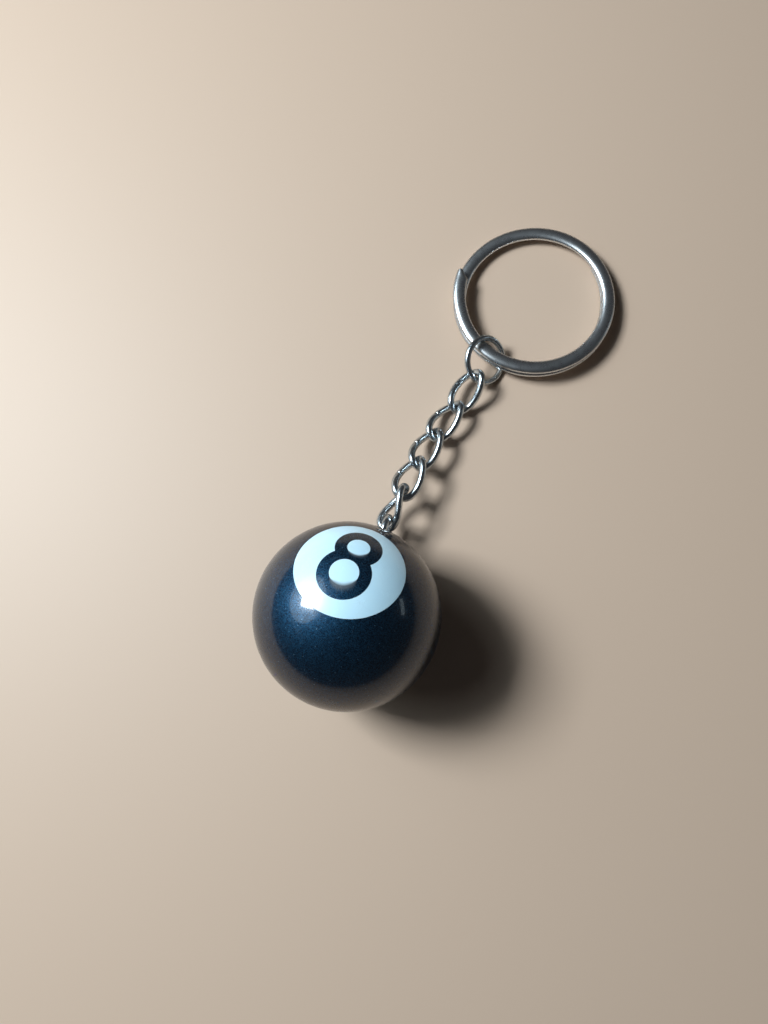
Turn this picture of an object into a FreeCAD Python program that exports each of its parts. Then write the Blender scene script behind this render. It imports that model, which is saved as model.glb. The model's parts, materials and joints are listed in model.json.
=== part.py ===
import FreeCAD, Part
import math
import os
import Sketcher

# A key ring with a miniature pool ball: ball, screw eye, five twisted chain links, jump ring, split ring.
# Row frame: origin at the middle of the split ring, +Z up, +Y along the object away from the ball.
# The object lies on a table: the ball and the far side of the split ring touch the table plane.

Vector = FreeCAD.Vector
Rotation = FreeCAD.Rotation
Placement = FreeCAD.Placement

X_AXIS = Vector(1, 0, 0)
Y_AXIS = Vector(0, 1, 0)
Z_AXIS = Vector(0, 0, 1)
ORIGIN = Vector(0, 0, 0)

SETTLING_ROUNDS = 30        # repeats that bring the ball down on the table
LINK_PATH_STEPS = 12        # pairs of arcs that make up a link's centre line
SMALL_TURN = 1e-4           # radians, for the direction of a centre line
RING_PATH_STEPS = 56        # steps through which the split ring's centre line is drawn
TOOTH_HALF_WIDTH = 0.35     # half width of a thread tooth at its root, in pitches
TOOTH_ROOT_DEPTH = 0.1      # how far a tooth's root lies inside the shank
FULL_TURN = 360

doc = FreeCAD.newDocument("pool_ball_key_ring")
sheet = doc.addObject("Spreadsheet::Sheet", "Sizes")

# Driving dimensions: lengths in millimetres, angles in degrees.
SIZES = {
    "ball_radius": 12.7,
    "spot_radius": 7.0,            # white number spot, across its rim
    "spot_floor": 9.6,             # flat underside of the spot, from the ball's centre
    "figure_floor": 11.0,          # flat underside of the figure, from the ball's centre
    "inlay_gap": 0.01,
    "upper_loop_radius": 3.0,      # the figure 8: outer radius, hole radius and middle of each loop
    "upper_hole_radius": 1.45,
    "upper_loop_middle": 2.45,
    "lower_loop_radius": 3.4,
    "lower_hole_radius": 1.85,
    "lower_loop_middle": -1.75,
    "figure_slant": 5,
    "eye_wire": 1.1,
    "eye_loop_outer": 4.9,         # outside diameter of the eye
    "eye_reach": 18.1,             # ball's centre to the tip of the eye
    "eye_neck_bend": 0.7,
    "eye_loop_sweep": 315,
    "shank_end": 5.2,              # ball's centre to the foot of the shank
    "thread_radius": 0.75,
    "thread_pitch": 0.6,
    "hole_radius": 0.95,
    "hole_floor": 4.6,
    "adhesive_gap": 0.02,
    "adhesive_recess": 0.15,
    "link_wire": 1.06,
    "link_inner_length": 5.75,
    "link_inner_width": 2.45,
    "link_squareness": 2.5,        # 2 would make a link's outline an ellipse
    "link_half_twist": 42,
    "wire_joint": 0.04,            # hairline butt joint in a link and in the jump ring
    "running_gap": 0.15,           # slack between two wires that hang in each other
    "jump_wire": 0.9,
    "jump_middle_radius": 3.39,
    "jump_tilt": 39.9,
    "jump_joint_angle": 200,       # where round the jump ring its butt joint sits
    "ring_outer": 25,
    "ring_wire_width": 2.0,
    "ring_wire_height": 1.15,
    "ring_wire_corner": 0.5,
    "ring_coil_gap": 0.02,
    "ring_end_angle": 60,          # where the lower coil ends
    "ring_crossing": 125,          # arc over which the wire climbs from the lower to the upper coil
    "ring_end_spring": 0.3,        # how far each wire end stands out
    "ring_end_reach": 40,          # arc over which an end curves outwards
    "ring_tilt": 3.1,
    "chain_start_x": -1.88,
    "chain_start_y": -15.36,
    "chain_start_height": 2.62,
    "link1_heading": 4.61, "link1_climb": -8.51, "link1_roll": -4.0, "link1_lean": 0,
    "link2_heading": 8.26, "link2_climb": 4.36, "link2_roll": -16.2, "link2_lean": 0,
    "link3_heading": -1.14, "link3_climb": 14.46, "link3_roll": -12.2, "link3_lean": 0.3,
    "link4_heading": -1.81, "link4_climb": 13.52, "link4_roll": -15.6, "link4_lean": 3.0,
    "link5_heading": -4.74, "link5_roll": -62.4, "link5_lean": -7.2,
    "last_link_slack": 0.86,       # the last link does not hang at full stretch
    "eye_heading": 9.4,
    "eye_dip": 30.5,
    "ball_roll": -3.1,
}


def fill_sheet():
    for row, (name, value) in enumerate(SIZES.items(), start=1):
        sheet.set(f"A{row}", name)
        sheet.set(f"B{row}", str(value))
        sheet.setAlias(f"B{row}", name)
    doc.recompute()


def size(name):
    return float(getattr(sheet, name))


def total(**factors):
    """A sum of sheet cells, each times a factor: its value now, and its formula."""
    value = sum(factor * size(cell) for cell, factor in factors.items())
    formula = " + ".join(f"{factor} * Sizes.{cell}" for cell, factor in factors.items())
    return value, formula


fill_sheet()

BALL_RADIUS = size("ball_radius")
GAP = size("running_gap")
PITCH = size("link_inner_length") - GAP
LAST_PITCH = PITCH - size("last_link_slack")
LINK_COUNT = 5

# ---------------------------------------------------------------- where everything lies


def ring_height():
    """Height of the split ring's middle above the table; its far edge touches the table."""
    tilt = math.radians(size("ring_tilt"))
    thickness = 2 * size("ring_wire_height") + size("ring_coil_gap")
    return (size("ring_outer") * math.sin(tilt) + thickness * math.cos(tilt)) / 2


def towards_ball(heading, climb):
    """Unit vector of a link that runs towards the ball, turned towards -X and climbing."""
    heading = math.radians(heading)
    climb = math.radians(climb)
    flat = math.cos(climb)
    return Vector(-math.sin(heading) * flat, -math.cos(heading) * flat, math.sin(climb))


def ball_rotation():
    """Ball's own axes: +Y out through the screw eye, +Z out through the front number spot."""
    turn = Rotation(Z_AXIS, size("eye_heading"))
    dip = Rotation(X_AXIS, -size("eye_dip"))
    roll = Rotation(Y_AXIS, size("ball_roll"))
    return turn.multiply(dip).multiply(roll)


def ball_middle(last_contact, last_direction):
    """Middle of a ball whose eye hangs on the last link at its contact point."""
    rotation = ball_rotation()
    loop_normal = rotation.multVec(X_AXIS)
    pull = last_direction.negative()
    pull = (pull - loop_normal * pull.dot(loop_normal)).normalize()
    hole_radius = size("eye_loop_outer") / 2 - size("eye_wire")
    loop_middle = last_contact - pull * (hole_radius - GAP / 2)
    reach = size("eye_reach") - size("eye_loop_outer") / 2
    return loop_middle - rotation.multVec(Y_AXIS) * reach


def lay_out_chain():
    """Contact points from the jump ring to the eye, link directions, and the ball's middle."""
    table = -ring_height()
    start_height = table + size("chain_start_height")
    points = [Vector(size("chain_start_x"), size("chain_start_y"), start_height)]
    directions = []
    for number in range(1, LINK_COUNT):
        direction = towards_ball(size(f"link{number}_heading"), size(f"link{number}_climb"))
        directions.append(direction)
        points.append(points[-1] + direction * PITCH)
    # The last link climbs just enough to meet the eye of a ball that rests on the table.
    climb = 0.0
    for _ in range(SETTLING_ROUNDS):
        direction = towards_ball(size(f"link{LINK_COUNT}_heading"), climb)
        middle = ball_middle(points[-1] + direction * LAST_PITCH, direction)
        climb += math.degrees((table + BALL_RADIUS - middle.z) / LAST_PITCH)
    directions.append(direction)
    points.append(points[-1] + direction * LAST_PITCH)
    return points, directions, middle


def link_place(index):
    """Link's own axes: +X towards the split ring, +Z up before its roll and its lean."""
    along = link_directions[index].negative()
    left = Z_AXIS.cross(along).normalize()
    up = along.cross(left)
    roll = Rotation(X_AXIS, size(f"link{index + 1}_roll"))
    lean = Rotation(Z_AXIS, size(f"link{index + 1}_lean"))
    middle = (contacts[index] + contacts[index + 1]) / 2
    return Placement(middle, Rotation(along, left, up, "XYZ").multiply(roll).multiply(lean))


def jump_ring_place():
    """The first link pulls on the tilted jump ring's inner side, straight towards the ball."""
    tilt = Rotation(Y_AXIS, size("jump_tilt"))
    joint_turn = Rotation(Z_AXIS, size("jump_joint_angle"))
    inner_radius = size("jump_middle_radius") - size("jump_wire") / 2
    middle = contacts[0] + Y_AXIS * (inner_radius - GAP / 2)
    return Placement(middle, tilt.multiply(joint_turn))


contacts, link_directions, ball_centre = lay_out_chain()
ball_place = Placement(ball_centre, ball_rotation())
back_place = ball_place.multiply(Placement(ORIGIN, Rotation(Y_AXIS, 180)))
ring_place = Placement(ORIGIN, Rotation(X_AXIS, -size("ring_tilt")))

# ---------------------------------------------------------------- building helpers


def origin_plane(body, role):
    return next(plane for plane in body.Origin.OriginFeatures if plane.Role == role)


def add_sketch(body, name, role, offset=None):
    sketch = body.newObject("Sketcher::SketchObject", name)
    sketch.AttachmentSupport = (origin_plane(body, role), "")
    sketch.MapMode = "FlatFace"
    if offset:
        sketch.setExpression("AttachmentOffset.Base.z", offset[1])
    return sketch


def dimension(sketch, name, kind, where, amount):
    """Add one dimensional constraint and bind it to the sheet."""
    value, formula = amount
    index = sketch.addConstraint(Sketcher.Constraint(kind, *where, value))
    sketch.renameConstraint(index, name)
    sketch.setExpression(f"Constraints.{name}", formula)


def add_primitive(kind, name, **amounts):
    thing = doc.addObject(kind, name)
    for prop, (_, formula) in amounts.items():
        thing.setExpression(prop, formula)
    return thing


def add_boolean(kind, name, base, tool):
    thing = doc.addObject(kind, name)
    thing.Base = base
    thing.Tool = tool
    return thing


def finish_node(thing, label, place):
    thing.Label = label
    thing.Placement = place
    nodes.append(thing)


# ---------------------------------------------------------------- ball, number spots and figures


def make_ball():
    sphere = add_primitive("Part::Sphere", "BallSphere", Radius=total(ball_radius=1))
    hole = add_primitive(
        "Part::Cylinder", "EyeHole", Radius=total(hole_radius=1), Height=total(ball_radius=1)
    )
    hole.Placement = Placement(Y_AXIS * size("hole_floor"), Rotation(X_AXIS, -90))
    tools = [hole]
    for name, angle in (("FrontRecess", 0), ("BackRecess", 180)):
        recess = add_primitive(
            "Part::Cylinder", name,
            Radius=total(spot_radius=1, inlay_gap=1), Height=total(ball_radius=1),
        )
        facing = Rotation(Y_AXIS, angle)
        floor = size("spot_floor") - size("inlay_gap")
        recess.Placement = Placement(facing.multVec(Z_AXIS) * floor, facing)
        tools.append(recess)
    openings = doc.addObject("Part::MultiFuse", "BallOpenings")
    openings.Shapes = tools
    finish_node(add_boolean("Part::Cut", "Ball", sphere, openings), "ball_body", ball_place)


def draw_figure(sketch, grow):
    """A figure 8 of two round loops, grown all round by so many times inlay_gap."""
    origin, upper_arc, lower_arc, upper_hole, lower_hole = -1, 0, 1, 2, 3
    start, end, centre = 1, 2, 3
    upper_radius, upper_middle = size("upper_loop_radius"), size("upper_loop_middle")
    lower_radius, lower_middle = size("lower_loop_radius"), size("lower_loop_middle")
    spread = upper_middle - lower_middle
    drop = (spread**2 + upper_radius**2 - lower_radius**2) / (2 * spread)
    upper_waist = math.acos(drop / upper_radius)
    lower_waist = math.acos((spread - drop) / lower_radius)
    down, up = -math.pi / 2, math.pi / 2
    upper = Part.Circle(Y_AXIS * upper_middle, Z_AXIS, upper_radius)
    lower = Part.Circle(Y_AXIS * lower_middle, Z_AXIS, lower_radius)
    sketch.addGeometry(Part.ArcOfCircle(upper, down + upper_waist, down - upper_waist + 2 * math.pi))
    sketch.addGeometry(Part.ArcOfCircle(lower, up + lower_waist, up - lower_waist + 2 * math.pi))
    sketch.addGeometry(Part.Circle(Y_AXIS * upper_middle, Z_AXIS, size("upper_hole_radius")))
    sketch.addGeometry(Part.Circle(Y_AXIS * lower_middle, Z_AXIS, size("lower_hole_radius")))
    sketch.addConstraint(Sketcher.Constraint("Coincident", upper_arc, start, lower_arc, end))
    sketch.addConstraint(Sketcher.Constraint("Coincident", upper_arc, end, lower_arc, start))
    sketch.addConstraint(Sketcher.Constraint("Coincident", upper_arc, centre, upper_hole, centre))
    sketch.addConstraint(Sketcher.Constraint("Coincident", lower_arc, centre, lower_hole, centre))
    for arc in (upper_arc, lower_arc):
        sketch.addConstraint(Sketcher.Constraint("PointOnObject", arc, centre, -2))
    upper_where = (origin, start, upper_arc, centre)
    lower_where = (lower_arc, centre, origin, start)
    dimension(sketch, "upper_middle", "DistanceY", upper_where, total(upper_loop_middle=1))
    dimension(sketch, "lower_middle", "DistanceY", lower_where, total(lower_loop_middle=-1))
    upper_outer = total(upper_loop_radius=1, inlay_gap=grow)
    lower_outer = total(lower_loop_radius=1, inlay_gap=grow)
    upper_inner = total(upper_hole_radius=1, inlay_gap=-grow)
    lower_inner = total(lower_hole_radius=1, inlay_gap=-grow)
    dimension(sketch, "upper_outer", "Radius", (upper_arc,), upper_outer)
    dimension(sketch, "lower_outer", "Radius", (lower_arc,), lower_outer)
    dimension(sketch, "upper_inner", "Radius", (upper_hole,), upper_inner)
    dimension(sketch, "lower_inner", "Radius", (lower_hole,), lower_inner)


def make_figure_block(name, grow):
    """The figure as an upright block from its floor to well beyond the ball's surface."""
    body = doc.addObject("PartDesign::Body", name)
    floor = total(figure_floor=1, inlay_gap=-grow)
    outline = add_sketch(body, name + "Outline", "XY_Plane", floor)
    outline.AttachmentOffset = Placement(ORIGIN, Rotation(Z_AXIS, -size("figure_slant")))
    draw_figure(outline, grow)
    block = body.newObject("PartDesign::Pad", name + "Pad")
    block.Profile = outline
    block.setExpression("Length", total(ball_radius=1)[1])
    return body


def make_inlay(side, place):
    """One white number spot and the black figure set into it, both flush with the ball."""
    radius = total(ball_radius=1)
    plug = add_primitive(
        "Part::Cylinder", side + "Plug", Radius=total(spot_radius=1), Height=radius
    )
    plug.setExpression("Placement.Base.z", total(spot_floor=1)[1])
    spot_sphere = add_primitive("Part::Sphere", side + "SpotSphere", Radius=radius)
    disc = add_boolean("Part::Common", side + "Disc", plug, spot_sphere)
    recess = make_figure_block(side + "FigureRecess", 1)
    spot = add_boolean("Part::Cut", side + "Spot", disc, recess)
    figure_sphere = add_primitive("Part::Sphere", side + "FigureSphere", Radius=radius)
    block = make_figure_block(side + "FigureBlock", 0)
    figure = add_boolean("Part::Common", side + "Figure", block, figure_sphere)
    finish_node(spot, "number_spot_" + side.lower(), place)
    finish_node(figure, "number_figure_" + side.lower(), place)


# ---------------------------------------------------------------- screw eye and its adhesive


def draw_eye_path(sketch):
    """Straight shank, a short bend off the axis, then the eye's loop back to the neck."""
    shank, neck, loop = 0, 1, 2
    start, end, centre = 1, 2, 3
    bend = size("eye_neck_bend")
    loop_radius = (size("eye_loop_outer") - size("eye_wire")) / 2
    loop_middle = size("eye_reach") - size("eye_loop_outer") / 2
    neck_middle = loop_middle - math.sqrt(loop_radius**2 + 2 * loop_radius * bend)
    meeting = math.atan2(bend, loop_middle - neck_middle)
    sweep = math.radians(size("eye_loop_sweep"))
    foot = X_AXIS * size("shank_end")
    neck_circle = Part.Circle(Vector(neck_middle, bend, 0), Z_AXIS, bend)
    loop_circle = Part.Circle(X_AXIS * loop_middle, Z_AXIS, loop_radius)
    loop_start = math.pi - meeting
    sketch.addGeometry(Part.LineSegment(foot, X_AXIS * neck_middle))
    sketch.addGeometry(Part.ArcOfCircle(neck_circle, -math.pi / 2, -meeting))
    sketch.addGeometry(Part.ArcOfCircle(loop_circle, loop_start - sweep, loop_start))
    for point in (start, end):
        sketch.addConstraint(Sketcher.Constraint("PointOnObject", shank, point, -1))
    sketch.addConstraint(Sketcher.Constraint("PointOnObject", loop, centre, -1))
    sketch.addConstraint(Sketcher.Constraint("Tangent", shank, end, neck, start))
    sketch.addConstraint(Sketcher.Constraint("Tangent", neck, end, loop, end))
    dimension(sketch, "foot", "DistanceX", (-1, start, shank, start), total(shank_end=1))
    middle_where = (-1, start, loop, centre)
    middle_amount = total(eye_reach=1, eye_loop_outer=-0.5)
    dimension(sketch, "loop_middle", "DistanceX", middle_where, middle_amount)
    radius_amount = total(eye_loop_outer=0.5, eye_wire=-0.5)
    dimension(sketch, "loop_radius", "Radius", (loop,), radius_amount)
    dimension(sketch, "neck_bend", "Radius", (neck,), total(eye_neck_bend=1))


def draw_thread_tooth(sketch):
    """Triangular tooth whose root lies inside the shank."""
    half = size("thread_pitch") * TOOTH_HALF_WIDTH
    root = size("eye_wire") / 2 - TOOTH_ROOT_DEPTH
    middle = size("shank_end") + size("thread_pitch")
    corners = [
        Vector(middle - half, root, 0),
        Vector(middle + half, root, 0),
        Vector(middle, size("thread_radius"), 0),
    ]
    for first, second in zip(corners, corners[1:] + corners[:1]):
        sketch.addGeometry(Part.LineSegment(first, second))
    for side in range(3):
        sketch.addConstraint(Sketcher.Constraint("Coincident", side, 2, (side + 1) % 3, 1))
    sketch.addConstraint(Sketcher.Constraint("Horizontal", 0))
    tip_where = (-1, 1, 1, 2)
    dimension(sketch, "tip", "DistanceY", tip_where, total(thread_radius=1))


def make_screw_eye():
    body = doc.addObject("PartDesign::Body", "ScrewEye")
    path = add_sketch(body, "EyePath", "YZ_Plane")
    draw_eye_path(path)
    section = add_sketch(body, "EyeSection", "XZ_Plane", total(shank_end=-1))
    section.addGeometry(Part.Circle(ORIGIN, Z_AXIS, size("eye_wire") / 2))
    section.addConstraint(Sketcher.Constraint("Coincident", 0, 3, -1, 1))
    dimension(section, "radius", "Radius", (0,), total(eye_wire=0.5))
    doc.recompute()
    wire = body.newObject("PartDesign::AdditivePipe", "EyeWire")
    wire.Profile = section
    wire.Spine = (path, ["Edge1", "Edge2", "Edge3"])
    doc.recompute()
    finish_node(body, "screw_eye", ball_place)
    return body


def make_thread(body):
    """The thread starts one pitch up the shank and ends two pitches inside the ball's surface."""
    tooth = add_sketch(body, "ThreadTooth", "YZ_Plane")
    draw_thread_tooth(tooth)
    doc.recompute()
    thread = body.newObject("PartDesign::AdditiveHelix", "Thread")
    thread.Profile = tooth
    thread.ReferenceAxis = (tooth, ["H_Axis"])
    thread.Mode = "pitch-height-angle"
    thread.setExpression("Pitch", total(thread_pitch=1)[1])
    thread.setExpression("Height", total(ball_radius=1, shank_end=-1, thread_pitch=-3)[1])
    doc.recompute()


def make_adhesive():
    """Sleeve of set adhesive between the shank's thread and the drilled hole."""
    height = total(ball_radius=1, hole_floor=-1, adhesive_gap=-1, adhesive_recess=-1)
    outer_radius = total(hole_radius=1, adhesive_gap=-1)
    bore_radius = total(thread_radius=1, adhesive_gap=1)
    outer = add_primitive("Part::Cylinder", "AdhesiveOuter", Radius=outer_radius, Height=height)
    bore = add_primitive("Part::Cylinder", "AdhesiveBore", Radius=bore_radius, Height=height)
    sleeve = add_boolean("Part::Cut", "Adhesive", outer, bore)
    foot = Y_AXIS * (size("hole_floor") + size("adhesive_gap"))
    stand = Placement(foot, Rotation(X_AXIS, -90))
    finish_node(sleeve, "thread_adhesive", ball_place.multiply(stand))


# ---------------------------------------------------------------- chain links


def link_centre_point(turn):
    """Point of a link's centre line: an oval between ellipse and rectangle, twisted lengthways."""
    wire = size("link_wire")
    half_length = (size("link_inner_length") + wire) / 2
    half_width = (size("link_inner_width") + wire) / 2
    power = size("link_squareness")
    along, across = math.cos(turn), math.sin(turn)
    push = (abs(along) ** power + abs(across) ** power) ** (-1 / power)
    twist = -math.radians(size("link_half_twist")) * push * along
    across *= push * half_width
    return Vector(push * half_length * along, across * math.cos(twist), across * math.sin(twist))


def link_direction(turn):
    ahead = link_centre_point(turn + SMALL_TURN)
    return (ahead - link_centre_point(turn - SMALL_TURN)).normalize()


def arc_between(start, corner, end):
    """Circular arc from start to end; its end tangents meet at the corner, midway."""
    pull = math.sin((start - corner).getAngle(end - corner) / 2)
    middle = (start + end + corner * (2 * pull)) * (0.5 / (1 + pull))
    return Part.Arc(start, middle, end).toShape()


def arc_pair(start, start_way, end, end_way):
    """Two arcs, smoothly joined, that leave start and reach end in the given directions."""
    span = end - start
    spread = 2 * (1 - start_way.dot(end_way))
    advance = span.dot(start_way + end_way)
    reach = (math.sqrt(advance**2 + spread * span.dot(span)) - advance) / spread
    first_corner = start + start_way * reach
    second_corner = end - end_way * reach
    joint = (first_corner + second_corner) / 2
    return [arc_between(start, first_corner, joint), arc_between(joint, second_corner, end)]


def link_path():
    """Centre line from one face of the butt joint, in the middle of a side, round to the other."""
    joint_turn = size("wire_joint") / (size("link_inner_length") + size("link_wire"))
    first_turn = math.pi / 2 + joint_turn
    step_turn = 2 * (math.pi - joint_turn) / LINK_PATH_STEPS
    arcs = []
    for step in range(LINK_PATH_STEPS):
        start = first_turn + step * step_turn
        end = start + step_turn
        arcs += arc_pair(
            link_centre_point(start), link_direction(start), link_centre_point(end), link_direction(end)
        )
    return Part.Wire(arcs), Placement(
        link_centre_point(first_turn), Rotation(Z_AXIS, link_direction(first_turn))
    )


def make_links():
    centre_line, section_place = link_path()
    path = doc.addObject("Part::Feature", "LinkPath")
    path.Shape = centre_line
    section = add_primitive("Part::Circle", "LinkSection", Radius=total(link_wire=0.5))
    section.Placement = section_place
    edge_names = [f"Edge{number + 1}" for number in range(len(centre_line.Edges))]
    for index in range(LINK_COUNT):
        link = doc.addObject("Part::Sweep", f"Link{index + 1}")
        link.Sections = [section]
        link.Spine = (path, edge_names)
        link.Solid = True
        finish_node(link, f"link_{index + 1}", link_place(index))


# ---------------------------------------------------------------- jump ring and split ring


def make_jump_ring():
    ring = add_primitive(
        "Part::Torus", "JumpRing",
        Radius1=total(jump_middle_radius=1), Radius2=total(jump_wire=0.5),
    )
    middle_radius = size("jump_middle_radius")
    ring.Angle3 = FULL_TURN - math.degrees(size("wire_joint") / middle_radius)
    finish_node(ring, "jump_ring", jump_ring_place())


def smooth_step(amount):
    amount = min(max(amount, 0.0), 1.0)
    return amount * amount * (3 - 2 * amount)


def split_ring_point(turned, total_turn):
    """Centre line of the coiled wire, so many degrees clockwise from the lower coil's end."""
    lower_turn = FULL_TURN - size("ring_crossing")
    climb = smooth_step((turned - lower_turn) / size("ring_crossing"))
    level = (climb - 0.5) * (size("ring_wire_height") + size("ring_coil_gap"))
    from_end = min(turned, total_turn - turned)
    stand_out = size("ring_end_spring") * (1 - smooth_step(from_end / size("ring_end_reach")))
    radius = (size("ring_outer") - size("ring_wire_width")) / 2 + stand_out
    angle = math.radians(size("ring_end_angle") - turned)
    return Vector(radius * math.cos(angle), radius * math.sin(angle), level)


def rounded_rectangle(width, height, corner):
    """Closed wire in the XZ plane about the origin, with round corners."""
    across, tall = width / 2 - corner, height / 2 - corner
    edges = []
    for x, z, first_angle in (
        (across, tall, 0), (-across, tall, 90), (-across, -tall, 180), (across, -tall, 270)
    ):
        bend = Part.makeCircle(corner, Vector(x, 0, z), -Y_AXIS, first_angle, first_angle + 90)
        edges.append(bend)
    corners = list(edges)
    for bend, following in zip(corners, corners[1:] + corners[:1]):
        edges.append(Part.makeLine(bend.lastVertex().Point, following.firstVertex().Point))
    return Part.Wire(Part.__sortEdges__(edges))


def make_split_ring():
    total_turn = 2 * FULL_TURN - size("ring_crossing")
    steps = RING_PATH_STEPS
    points = [split_ring_point(total_turn * step / steps, total_turn) for step in range(steps + 1)]
    curve = Part.BSplineCurve()
    curve.interpolate(points)
    section = rounded_rectangle(
        size("ring_wire_width"), size("ring_wire_height"), size("ring_wire_corner")
    )
    start = curve.FirstParameter
    tangent = Vector(*curve.tangent(start)[0])
    outward = Vector(points[0].x, points[0].y, 0)
    facing = Rotation(outward, tangent, Z_AXIS, "ZXY")
    section.Placement = Placement(points[0], facing)
    shell = Part.BRepOffsetAPI.MakePipeShell(Part.Wire([curve.toShape()]))
    shell.setBiNormalMode(Z_AXIS)
    shell.add(section)
    shell.build()
    shell.makeSolid()
    ring = doc.addObject("Part::Feature", "SplitRing")
    ring.Shape = shell.shape()
    finish_node(ring, "split_ring", ring_place)


# ---------------------------------------------------------------- build, check and write


def check_model():
    doc.recompute()
    for thing in doc.Objects:
        if "Invalid" in thing.State or "Error" in thing.State:
            raise RuntimeError(f"{thing.Name} failed: {thing.State}")
    for node in nodes:
        if node.Shape.isNull() or not node.Shape.isValid() or not node.Shape.Solids:
            raise RuntimeError(f"{node.Label} has no valid solid")


def write_nodes():
    os.makedirs("parts", exist_ok=True)
    for node in nodes:
        node.Shape.exportStep(f"parts/{node.Label}.step")


nodes = []
make_ball()
make_inlay("Front", ball_place)
make_inlay("Back", back_place)
screw_eye = make_screw_eye()
make_thread(screw_eye)
make_adhesive()
make_links()
make_jump_ring()
make_split_ring()
check_model()
write_nodes()
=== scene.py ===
import json
import math

import bmesh
import bpy
import numpy as np
from mathutils import Matrix, Vector
from mathutils.geometry import delaunay_2d_cdt


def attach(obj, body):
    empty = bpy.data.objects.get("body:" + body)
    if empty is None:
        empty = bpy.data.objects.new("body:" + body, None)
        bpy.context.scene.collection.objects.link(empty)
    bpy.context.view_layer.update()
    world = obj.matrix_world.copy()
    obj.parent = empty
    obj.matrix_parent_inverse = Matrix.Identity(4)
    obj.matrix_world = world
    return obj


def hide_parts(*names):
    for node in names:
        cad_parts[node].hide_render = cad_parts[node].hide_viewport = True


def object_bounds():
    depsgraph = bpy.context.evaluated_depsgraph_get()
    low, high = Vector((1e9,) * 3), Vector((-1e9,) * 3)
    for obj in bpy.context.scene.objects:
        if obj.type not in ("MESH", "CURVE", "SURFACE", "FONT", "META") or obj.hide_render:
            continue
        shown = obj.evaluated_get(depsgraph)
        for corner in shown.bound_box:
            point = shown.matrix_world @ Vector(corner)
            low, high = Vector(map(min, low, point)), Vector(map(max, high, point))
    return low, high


# Looks of the pool ball key ring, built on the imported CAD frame.
# Every piece is modelled in millimetres in its own axes, then placed by a matrix found from its
# CAD node.

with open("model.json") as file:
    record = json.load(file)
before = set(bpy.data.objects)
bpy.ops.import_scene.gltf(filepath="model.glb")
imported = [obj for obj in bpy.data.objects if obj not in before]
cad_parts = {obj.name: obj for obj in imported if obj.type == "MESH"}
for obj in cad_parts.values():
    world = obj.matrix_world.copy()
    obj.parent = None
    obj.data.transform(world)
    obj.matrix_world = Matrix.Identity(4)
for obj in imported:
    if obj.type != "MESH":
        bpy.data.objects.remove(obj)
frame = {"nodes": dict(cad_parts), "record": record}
cad_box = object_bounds()

MM = 0.001
OWN_PLACE = "own_place"

# ---------------------------------------------------------------- shapes, in millimetres and degrees

BALL_RADIUS = 12.7
SPOT_RADIUS = 7.0
INLAY_GAP = 0.01              # hairline between two resins
INLAY_DEPTH = 0.6             # how deep the modelled walls of an inlay go
UPPER_LOOP = (2.45, 3.0, 1.45)      # figure 8: middle, outer radius and hole radius of each loop
LOWER_LOOP = (-1.75, 3.4, 1.85)
UPPER_FEATHER = 0.45          # how softly white and black blend at each hole's lower edge
LOWER_FEATHER = 0.85
FEATHER_SIDE = (0.34, -0.94)  # the way from a hole's middle to that blend
FIGURE_SLANT = 5
OUTLINE_STEPS = 24            # points on a loop of the 8, for each millimetre of its radius
GRID_SPACING = 0.32           # of the points inside a spot's outlines

EYE_WIRE = 1.1
EYE_OUTER = 4.9
EYE_REACH = 18.1              # ball's middle to the tip of the eye
EYE_BEND = 0.7
EYE_SWEEP = 315
SHANK_START = 9.5             # the modelled shank begins inside the ball
HOLE_RADIUS = 0.95
HOLE_DEPTH = 1.2
THREAD_PITCH = 0.6
THREAD_CREST = 0.2
GLUE_GAP = 0.02               # glue stays this far off the hole's wall, and as far into the shank
GLUE_LEVEL = 0.12             # how far its top lies below the ball's surface
GLUE_DEPTH = 0.9

LINK_WIRE = 1.06
LINK_INNER_LENGTH = 5.75
LINK_INNER_WIDTH = 2.45
LINK_SQUARENESS = 2.5         # exponent of a link's outline: 2 is an ellipse, more is squarer
LINK_HALF_TWIST = 42
WIRE_JOINT = 0.05             # gap of a butt joint in a link and in the jump ring

JUMP_WIRE = 0.9
JUMP_RADIUS = 3.39
JUMP_OFFSET = 0.05            # how far one of its ends lies beside the other

RING_OUTER = 25
RING_WIDTH = 2.0              # of the flattened wire, across the ring
RING_HEIGHT = 1.15
RING_COIL_GAP = 0.02
RING_END_ANGLE = 60           # where the lower coil ends
RING_CROSSING = 125           # arc over which the wire climbs from the lower to the upper coil
RING_END_SPRING = 0.3         # how far each wire end stands out
RING_END_REACH = 40
RING_SLANT = 1.2              # length of the slanted cut on the upper coil's end
RING_TIP = 0.4                # share of the coil's width that is left at the very end of that cut
RING_ROUNDNESS = 2.2          # exponent of the wire's section: 2 is an ellipse, more is squarer

END_STATIONS = (0.0004, 0.0012, 0.0025, 0.005)      # shares of a wire's length, near each end

# ---------------------------------------------------------------- camera and room, the same units

CAMERA_LENS = 27.07
CAMERA_PLACE = (11.8, -53.5, 115.2)
CAMERA_TURN = (9.34, 3.75, 29.36)
CAMERA_NEAREST = 5            # nothing closer to the camera is drawn
FLOOR_HALF_SIDE = 1200
HORIZON = (0.16, 0.15, 0.145, 1)    # colours of the room's own faint light
OVERHEAD = (0.075, 0.08, 0.09, 1)
ROOM_LIGHT = 0.3

# ---------------------------------------------------------------- where the CAD nodes lie


def tetrahedra(node):
    """The three outer corners of every tetrahedron between a node's triangles and the origin."""
    mesh = frame["nodes"][node].data
    mesh.calc_loop_triangles()
    places = np.array([vertex.co for vertex in mesh.vertices])
    triangles = np.array([triangle.vertices for triangle in mesh.loop_triangles])
    return places[triangles]


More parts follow.
